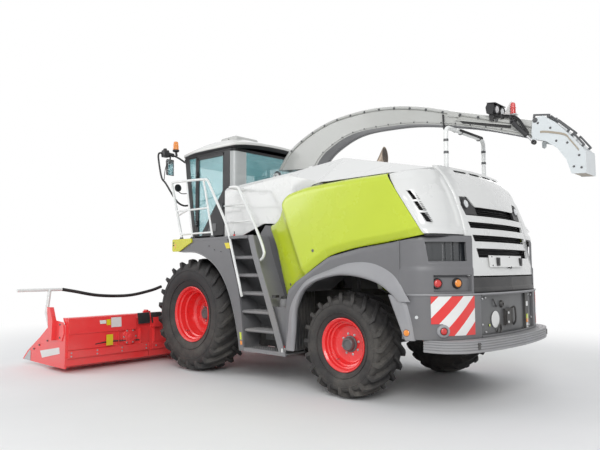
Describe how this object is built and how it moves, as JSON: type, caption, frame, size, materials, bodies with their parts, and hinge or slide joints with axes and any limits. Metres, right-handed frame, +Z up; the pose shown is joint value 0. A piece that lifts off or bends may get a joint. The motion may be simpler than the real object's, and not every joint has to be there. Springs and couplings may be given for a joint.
{
  "type": "forage harvester with a rotary crop header",
  "caption": "Self-propelled forage harvester: cab, curved discharge spout, four lugged wheels, rear steering and a folding rotary crop header in front.",
  "frame": {"origin": "on the ground under the middle of the whole length and width", "axes": "+X forward, +Y to the machine's left, +Z up"},
  "size_m": [8.22, 6.7, 3.96],
  "materials": {
    "off_white": "gloss",
    "lime_green": "gloss",
    "red_paint": "gloss",
    "dark_plastic": "matte",
    "black_plastic": "matte",
    "chassis_grey": "satin",
    "tyre_rubber": "matte",
    "teal_glass": "clear",
    "seat_fabric": "woven",
    "lamp_lime": "gloss",
    "steel": "worn",
    "hose_rubber": "matte",
    "exhaust_steel": "heat stained"
  },
  "bodies": {
    "machine": {"chassis": "chassis_grey", "engine": "chassis_grey", "crop_unit": "chassis_grey", "front_axle": "chassis_grey", "rear_axle": "chassis_grey", "cab_frame": "black_plastic", "cab_roof": "off_white", "cab_glass": "teal_glass", "cab_interior": "seat_fabric", "platforms": "dark_plastic", "ladder": "dark_plastic", "handrails": "off_white", "front_panels": "off_white", "hood_top": "off_white", "rear_corners": "off_white", "rear_fenders": "dark_plastic", "tail_skirt": "dark_plastic", "bumper": "chassis_grey", "spout_rest": "off_white", "exhaust": "exhaust_steel", "mirrors": "black_plastic", "lamps": "lamp_lime"},
    "wheel_front_left": {"tyre_front_left": "tyre_rubber", "rim_front_left": "red_paint"},
    "wheel_front_right": {"tyre_front_right": "tyre_rubber", "rim_front_right": "red_paint"},
    "steer_left": {"knuckle_left": "chassis_grey"},
    "steer_right": {"knuckle_right": "chassis_grey"},
    "wheel_rear_left": {"tyre_rear_left": "tyre_rubber", "rim_rear_left": "red_paint"},
    "wheel_rear_right": {"tyre_rear_right": "tyre_rubber", "rim_rear_right": "red_paint"},
    "door": {"cab_door": "black_plastic", "cab_door_glass": "teal_glass"},
    "rear_lid": {"rear_hood": "off_white", "rear_grille": "black_plastic"},
    "flap_left": {"service_door_left": "lime_green"},
    "flap_right": {"service_door_right": "lime_green"},
    "turret": {"spout_turret": "off_white"},
    "arm": {"spout_arm": "off_white", "spout_fittings": "black_plastic"},
    "deflector_hood": {"deflector": "off_white"},
    "front_lift": {"feeder_house": "red_paint", "header_centre": "red_paint"},
    "wing_left": {"header_wing_left": "red_paint", "push_bar_left": "off_white", "hose_left": "hose_rubber"},
    "wing_right": {"header_wing_right": "red_paint", "push_bar_right": "off_white", "hose_right": "hose_rubber"},
    "rotor_body_1": {"rotor_1": "steel"},
    "rotor_body_2": {"rotor_2": "steel"},
    "rotor_body_3": {"rotor_3": "steel"},
    "rotor_body_4": {"rotor_4": "steel"},
    "rotor_body_5": {"rotor_5": "steel"},
    "rotor_body_6": {"rotor_6": "steel"},
    "rotor_body_7": {"rotor_7": "steel"},
    "rotor_body_8": {"rotor_8": "steel"}
  },
  "joints": [
    {"name": "front_left_roll", "type": "hinge", "parent": "machine", "child": "wheel_front_left", "pos_m": [1.36, 1.175, 0.87], "axis": [0, 1, 0], "continuous": true},
    {"name": "front_right_roll", "type": "hinge", "parent": "machine", "child": "wheel_front_right", "pos_m": [1.36, -1.175, 0.87], "axis": [0, 1, 0], "continuous": true},
    {"name": "left_steer", "type": "hinge", "parent": "machine", "child": "steer_left", "pos_m": [-1.61, 0.88, 0.64], "axis": [0, 0, 1], "range_deg": [-35, 35]},
    {"name": "right_steer", "type": "hinge", "parent": "machine", "child": "steer_right", "pos_m": [-1.61, -0.88, 0.64], "axis": [0, 0, 1], "range_deg": [-35, 35]},
    {"name": "rear_left_roll", "type": "hinge", "parent": "steer_left", "child": "wheel_rear_left", "pos_m": [-1.61, 1.16, 0.64], "axis": [0, 1, 0], "continuous": true},
    {"name": "rear_right_roll", "type": "hinge", "parent": "steer_right", "child": "wheel_rear_right", "pos_m": [-1.61, -1.16, 0.64], "axis": [0, 1, 0], "continuous": true},
    {"name": "cab_door_swing", "type": "hinge", "parent": "machine", "child": "door", "pos_m": [1.96, 0.903, 2.5], "axis": [0, 0, -1], "range_deg": [0, 35]},
    {"name": "rear_lid_lift", "type": "hinge", "parent": "machine", "child": "rear_lid", "pos_m": [-2.59, 0, 2.815], "axis": [0, 1, 0], "range_deg": [0, 45]},
    {"name": "left_flap", "type": "hinge", "parent": "machine", "child": "flap_left", "pos_m": [-1.54, 1.4, 2.685], "axis": [1, 0, 0], "range_deg": [0, 70]},
    {"name": "right_flap", "type": "hinge", "parent": "machine", "child": "flap_right", "pos_m": [-1.54, -1.4, 2.685], "axis": [-1, 0, 0], "range_deg": [0, 70]},
    {"name": "spout_slew", "type": "hinge", "parent": "machine", "child": "turret", "pos_m": [0.31, 0, 3], "axis": [0, 0, -1], "range_deg": [-105, 105]},
    {"name": "spout_lift", "type": "hinge", "parent": "turret", "child": "arm", "pos_m": [0.74, 0, 3.125], "axis": [0, 1, 0], "range_deg": [0, 30]},
    {"name": "deflector_tilt", "type": "hinge", "parent": "arm", "child": "deflector_hood", "pos_m": [-3.57, 0, 3.3], "axis": [0, 1, 0], "range_deg": [0, 45]},
    {"name": "header_lift", "type": "hinge", "parent": "machine", "child": "front_lift", "pos_m": [1.61, 0, 1.11], "axis": [0, 1, 0], "range_deg": [-25, 0]},
    {"name": "left_fold", "type": "hinge", "parent": "front_lift", "child": "wing_left", "pos_m": [2.61, 1.42, 0.86], "axis": [1, 0, 0], "range_deg": [0, 100], "deforming": ["hose_left"]},
    {"name": "right_fold", "type": "hinge", "parent": "front_lift", "child": "wing_right", "pos_m": [2.61, -1.42, 0.86], "axis": [-1, 0, 0], "range_deg": [0, 100], "deforming": ["hose_right"]},
    {"name": "rotor_1_spin", "type": "hinge", "parent": "wing_right", "child": "rotor_body_1", "pos_m": [3.06, -2.485, 0.2], "axis": [0, 0, 1], "continuous": true},
    {"name": "rotor_2_spin", "type": "hinge", "parent": "wing_right", "child": "rotor_body_2", "pos_m": [3.06, -1.775, 0.2], "axis": [0, 0, 1], "continuous": true},
    {"name": "rotor_3_spin", "type": "hinge", "parent": "front_lift", "child": "rotor_body_3", "pos_m": [3.06, -1.065, 0.2], "axis": [0, 0, 1], "continuous": true},
    {"name": "rotor_4_spin", "type": "hinge", "parent": "front_lift", "child": "rotor_body_4", "pos_m": [3.06, -0.355, 0.2], "axis": [0, 0, 1], "continuous": true},
    {"name": "rotor_5_spin", "type": "hinge", "parent": "front_lift", "child": "rotor_body_5", "pos_m": [3.06, 0.355, 0.2], "axis": [0, 0, 1], "continuous": true},
    {"name": "rotor_6_spin", "type": "hinge", "parent": "front_lift", "child": "rotor_body_6", "pos_m": [3.06, 1.065, 0.2], "axis": [0, 0, 1], "continuous": true},
    {"name": "rotor_7_spin", "type": "hinge", "parent": "wing_left", "child": "rotor_body_7", "pos_m": [3.06, 1.775, 0.2], "axis": [0, 0, 1], "continuous": true},
    {"name": "rotor_8_spin", "type": "hinge", "parent": "wing_left", "child": "rotor_body_8", "pos_m": [3.06, 2.485, 0.2], "axis": [0, 0, 1], "continuous": true}
  ],
  "couplings": [
    {"joint": "right_steer", "follows": "left_steer", "ratio": 1},
    {"joint": "rotor_1_spin", "follows": "rotor_4_spin", "ratio": 1},
    {"joint": "rotor_2_spin", "follows": "rotor_4_spin", "ratio": 1},
    {"joint": "rotor_3_spin", "follows": "rotor_4_spin", "ratio": 1},
    {"joint": "rotor_5_spin", "follows": "rotor_4_spin", "ratio": -1},
    {"joint": "rotor_6_spin", "follows": "rotor_4_spin", "ratio": -1},
    {"joint": "rotor_7_spin", "follows": "rotor_4_spin", "ratio": -1},
    {"joint": "rotor_8_spin", "follows": "rotor_4_spin", "ratio": -1}
  ]
}
